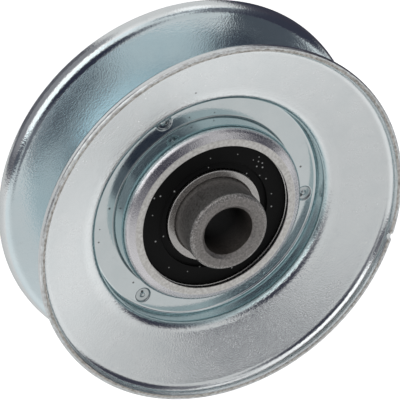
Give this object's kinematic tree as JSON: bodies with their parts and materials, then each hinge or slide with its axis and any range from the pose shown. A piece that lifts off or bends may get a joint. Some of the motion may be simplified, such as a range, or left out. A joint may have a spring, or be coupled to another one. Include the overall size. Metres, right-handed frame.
{
  "type": "belt idler pulley",
  "caption": "V-belt idler pulley pressed from zinc-plated sheet, its halves joined at a flat web, with a sealed ball bearing in the neck and a spacer sleeve for the mounting bolt.",
  "frame": {"origin": "on the axis of rotation, in the middle plane of the belt groove", "axes": "+Z along the axis of rotation, out of the front half; it stands on the rear end of the sleeve"},
  "size_m": [0.0746, 0.0746, 0.0248],
  "materials": {
    "zinc_plated_sheet": "bright blue-white zinc plating, satin",
    "bearing_steel": "fine ground steel",
    "seal_rubber": "matt black moulded rubber",
    "sleeve_steel": "plain turned steel, slightly grey",
    "cage_steel": "pressed strip steel",
    "ball_steel": "polished"
  },
  "bodies": {
    "spindle": {"spacer_sleeve": "sleeve_steel", "bearing_inner_ring": "bearing_steel"},
    "pulley": {"front_flange": "zinc_plated_sheet", "rear_flange": "zinc_plated_sheet", "bearing_outer_ring": "bearing_steel", "front_seal": "seal_rubber", "rear_seal": "seal_rubber"},
    "cage": {"cage_front": "cage_steel", "cage_rear": "cage_steel", "cage_rivets": "cage_steel"},
    "ball_1": {"bearing_ball_1": "ball_steel"},
    "ball_2": {"bearing_ball_2": "ball_steel"},
    "ball_3": {"bearing_ball_3": "ball_steel"},
    "ball_4": {"bearing_ball_4": "ball_steel"},
    "ball_5": {"bearing_ball_5": "ball_steel"},
    "ball_6": {"bearing_ball_6": "ball_steel"},
    "ball_7": {"bearing_ball_7": "ball_steel"},
    "ball_8": {"bearing_ball_8": "ball_steel"}
  },
  "joints": [
    {"name": "pulley_spin", "type": "hinge", "parent": "spindle", "child": "pulley", "pos_m": [0, 0, 0], "axis": [0, 0, 1], "continuous": true},
    {"name": "cage_spin", "type": "hinge", "parent": "spindle", "child": "cage", "pos_m": [0, 0, 0], "axis": [0, 0, 1], "continuous": true},
    {"name": "ball_1_spin", "type": "hinge", "parent": "cage", "child": "ball_1", "pos_m": [0.0127, 0, 0], "axis": [0, 0, 1], "continuous": true},
    {"name": "ball_2_spin", "type": "hinge", "parent": "cage", "child": "ball_2", "pos_m": [0.00898, 0.00898, 0], "axis": [0, 0, 1], "continuous": true},
    {"name": "ball_3_spin", "type": "hinge", "parent": "cage", "child": "ball_3", "pos_m": [0, 0.0127, 0], "axis": [0, 0, 1], "continuous": true},
    {"name": "ball_4_spin", "type": "hinge", "parent": "cage", "child": "ball_4", "pos_m": [-0.00898, 0.00898, 0], "axis": [0, 0, 1], "continuous": true},
    {"name": "ball_5_spin", "type": "hinge", "parent": "cage", "child": "ball_5", "pos_m": [-0.0127, 0, 0], "axis": [0, 0, 1], "continuous": true},
    {"name": "ball_6_spin", "type": "hinge", "parent": "cage", "child": "ball_6", "pos_m": [-0.00898, -0.00898, 0], "axis": [0, 0, 1], "continuous": true},
    {"name": "ball_7_spin", "type": "hinge", "parent": "cage", "child": "ball_7", "pos_m": [0, -0.0127, 0], "axis": [0, 0, 1], "continuous": true},
    {"name": "ball_8_spin", "type": "hinge", "parent": "cage", "child": "ball_8", "pos_m": [0.00898, -0.00898, 0], "axis": [0, 0, 1], "continuous": true}
  ],
  "couplings": [
    {"joint": "cage_spin", "follows": "pulley_spin", "ratio": 0.61718},
    {"joint": "ball_1_spin", "follows": "pulley_spin", "ratio": 2.0162},
    {"joint": "ball_2_spin", "follows": "pulley_spin", "ratio": 2.0162},
    {"joint": "ball_3_spin", "follows": "pulley_spin", "ratio": 2.0162},
    {"joint": "ball_4_spin", "follows": "pulley_spin", "ratio": 2.0162},
    {"joint": "ball_5_spin", "follows": "pulley_spin", "ratio": 2.0162},
    {"joint": "ball_6_spin", "follows": "pulley_spin", "ratio": 2.0162},
    {"joint": "ball_7_spin", "follows": "pulley_spin", "ratio": 2.0162},
    {"joint": "ball_8_spin", "follows": "pulley_spin", "ratio": 2.0162}
  ]
}
